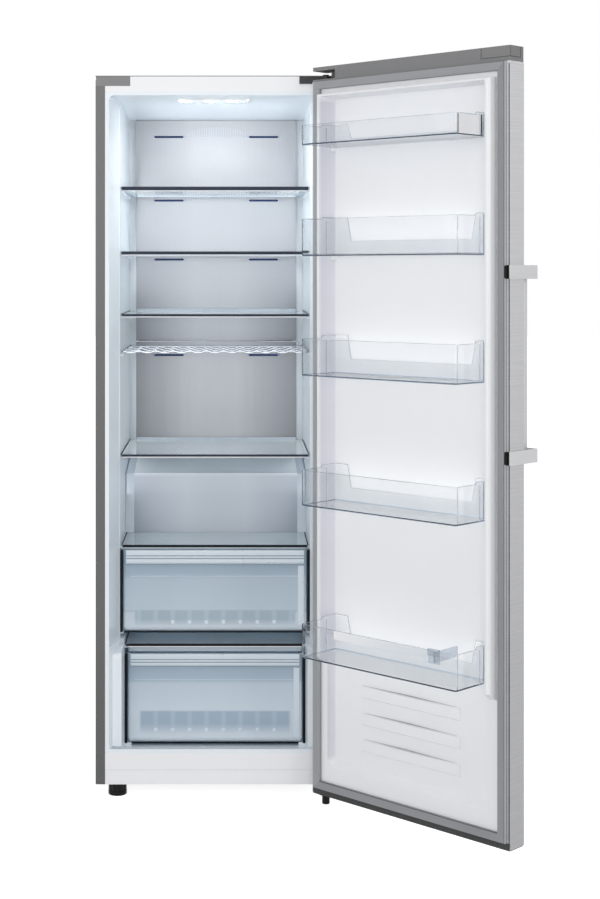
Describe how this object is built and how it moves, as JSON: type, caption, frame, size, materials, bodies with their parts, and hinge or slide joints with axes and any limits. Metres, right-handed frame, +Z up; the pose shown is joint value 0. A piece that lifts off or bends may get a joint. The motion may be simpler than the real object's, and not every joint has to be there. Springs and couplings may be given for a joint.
{
  "type": "larder fridge",
  "caption": "Tall free-standing larder fridge with a hinged door standing open, glass shelves, a wavy bottle rack, crisper drawers, clear door bins and a bar handle.",
  "frame": {"origin": "on the floor under the door's hinge axis, at the centre of the hinge foot's underside", "axes": "+Z up along the hinge axis, +Y towards the cabinet's back, +X towards the hinge side; the door is at rest 135 degrees open"},
  "size_m": [1.0399, 1.1045, 1.836],
  "materials": {
    "side_steel": "satin",
    "back_steel": "matt",
    "foam": "matt",
    "liner_plastic": "gloss",
    "frame_plastic": "satin",
    "cap_plastic": "satin",
    "hinge_steel": "satin",
    "duct_steel": "brushed",
    "cover_plastic": "satin",
    "coil_aluminium": "satin",
    "lamp_glass": "frosted",
    "shelf_glass": "clear",
    "rack_chrome": "polished",
    "drawer_plastic": "translucent",
    "pot_steel": "satin",
    "black_plastic": "matt",
    "dark_plastic": "matt",
    "black_rubber": "matt",
    "door_steel": "brushed",
    "door_plastic": "satin",
    "gasket_rubber": "matt",
    "handle_metal": "satin",
    "bin_plastic": "clear"
  },
  "bodies": {
    "cabinet": {"side_left": "side_steel", "side_right": "side_steel", "top_cover": "side_steel", "back_sheet": "back_steel", "base_tray": "back_steel", "cabinet_insulation": "foam", "inner_liner": "liner_plastic", "top_rail": "frame_plastic", "bottom_rail": "frame_plastic", "plinth": "frame_plastic", "corner_cap": "cap_plastic", "upper_hinge": "hinge_steel", "lower_hinge": "hinge_steel", "duct_panel": "duct_steel", "evaporator_cover": "cover_plastic", "evaporator": "coil_aluminium", "fan_shroud": "cover_plastic", "lamp_housing": "frame_plastic", "lamp_lens": "lamp_glass", "compressor": "pot_steel", "drip_tray": "black_plastic", "machine_cover": "back_steel", "cable_gland": "black_rubber"},
    "door": {"door_skin": "door_steel", "door_insulation": "foam", "door_liner": "door_plastic", "gasket": "gasket_rubber", "door_top_cap": "cap_plastic", "door_cap_cover": "cap_plastic", "door_bottom_cap": "dark_plastic", "handle_bar": "handle_metal", "handle_bracket_upper": "handle_metal", "handle_bracket_lower": "handle_metal"},
    "bin_1": {"door_bin_1": "bin_plastic"},
    "bin_2": {"door_bin_2": "bin_plastic"},
    "bin_3": {"door_bin_3": "bin_plastic"},
    "bin_4": {"door_bin_4": "bin_plastic"},
    "bin_5": {"door_bin_5": "bin_plastic"},
    "retainer": {"bottle_retainer": "frame_plastic"},
    "shelf_1": {"shelf_glass_1": "shelf_glass", "shelf_trim_1": "frame_plastic"},
    "shelf_2": {"shelf_glass_2": "shelf_glass", "shelf_trim_2": "frame_plastic"},
    "shelf_3": {"shelf_glass_3": "shelf_glass", "shelf_trim_3": "frame_plastic"},
    "shelf_4": {"shelf_glass_4": "shelf_glass", "shelf_trim_4": "frame_plastic"},
    "rack": {"wine_rack": "rack_chrome"},
    "upper_cover": {"crisper_glass_upper": "shelf_glass", "crisper_trim_upper": "drawer_plastic"},
    "lower_cover": {"crisper_glass_lower": "shelf_glass", "crisper_trim_lower": "drawer_plastic"},
    "upper_drawer": {"drawer_upper": "drawer_plastic"},
    "lower_drawer": {"drawer_lower": "drawer_plastic"},
    "fan": {"fan_blades": "liner_plastic"},
    "left_roller": {"roller_left": "black_plastic"},
    "right_roller": {"roller_right": "black_plastic"},
    "left_foot": {"foot_left": "black_plastic"},
    "hinge_foot": {"foot_hinge": "black_plastic"}
  },
  "joints": [
    {"name": "door_hinge", "type": "hinge", "parent": "cabinet", "child": "door", "pos_m": [0, 0, 1], "axis": [0, 0, 1], "range_deg": [-135, 0]},
    {"name": "bin_1_lift", "type": "slide", "parent": "door", "child": "bin_1", "axis": [0, 0, 1], "range_m": [0, 0.04]},
    {"name": "bin_2_lift", "type": "slide", "parent": "door", "child": "bin_2", "axis": [0, 0, 1], "range_m": [0, 0.04]},
    {"name": "bin_3_lift", "type": "slide", "parent": "door", "child": "bin_3", "axis": [0, 0, 1], "range_m": [0, 0.04]},
    {"name": "bin_4_lift", "type": "slide", "parent": "door", "child": "bin_4", "axis": [0, 0, 1], "range_m": [0, 0.04]},
    {"name": "bin_5_lift", "type": "slide", "parent": "door", "child": "bin_5", "axis": [0, 0, 1], "range_m": [0, 0.04]},
    {"name": "retainer_slide", "type": "slide", "parent": "bin_5", "child": "retainer", "axis": [0.7071, -0.7071, 0], "range_m": [-0.325, 0.015]},
    {"name": "shelf_1_slide", "type": "slide", "parent": "cabinet", "child": "shelf_1", "axis": [0, -1, 0], "range_m": [0, 0.15]},
    {"name": "shelf_2_slide", "type": "slide", "parent": "cabinet", "child": "shelf_2", "axis": [0, -1, 0], "range_m": [0, 0.15]},
    {"name": "shelf_3_slide", "type": "slide", "parent": "cabinet", "child": "shelf_3", "axis": [0, -1, 0], "range_m": [0, 0.15]},
    {"name": "shelf_4_slide", "type": "slide", "parent": "cabinet", "child": "shelf_4", "axis": [0, -1, 0], "range_m": [0, 0.15]},
    {"name": "rack_slide", "type": "slide", "parent": "cabinet", "child": "rack", "axis": [0, -1, 0], "range_m": [0, 0.15]},
    {"name": "upper_cover_slide", "type": "slide", "parent": "cabinet", "child": "upper_cover", "axis": [0, -1, 0], "range_m": [0, 0.12]},
    {"name": "lower_cover_slide", "type": "slide", "parent": "cabinet", "child": "lower_cover", "axis": [0, -1, 0], "range_m": [0, 0.12]},
    {"name": "upper_drawer_slide", "type": "slide", "parent": "cabinet", "child": "upper_drawer", "axis": [0, -1, 0], "range_m": [0, 0.16]},
    {"name": "lower_drawer_slide", "type": "slide", "parent": "cabinet", "child": "lower_drawer", "axis": [0, -1, 0], "range_m": [0, 0.095]},
    {"name": "fan_spin", "type": "hinge", "parent": "cabinet", "child": "fan", "pos_m": [-0.2785, 0.527, 0.705], "axis": [0, 1, 0], "continuous": true},
    {"name": "left_roller_spin", "type": "hinge", "parent": "cabinet", "child": "left_roller", "pos_m": [-0.5285, 0.599, 0.016], "axis": [1, 0, 0], "continuous": true},
    {"name": "right_roller_spin", "type": "hinge", "parent": "cabinet", "child": "right_roller", "pos_m": [-0.0285, 0.599, 0.016], "axis": [1, 0, 0], "continuous": true},
    {"name": "left_foot_turn", "type": "hinge", "parent": "cabinet", "child": "left_foot", "pos_m": [-0.5255, 0.079, 0.01], "axis": [0, 0, 1], "continuous": true},
    {"name": "hinge_foot_turn", "type": "hinge", "parent": "cabinet", "child": "hinge_foot", "pos_m": [0, 0, 0.01], "axis": [0, 0, 1], "continuous": true}
  ]
}
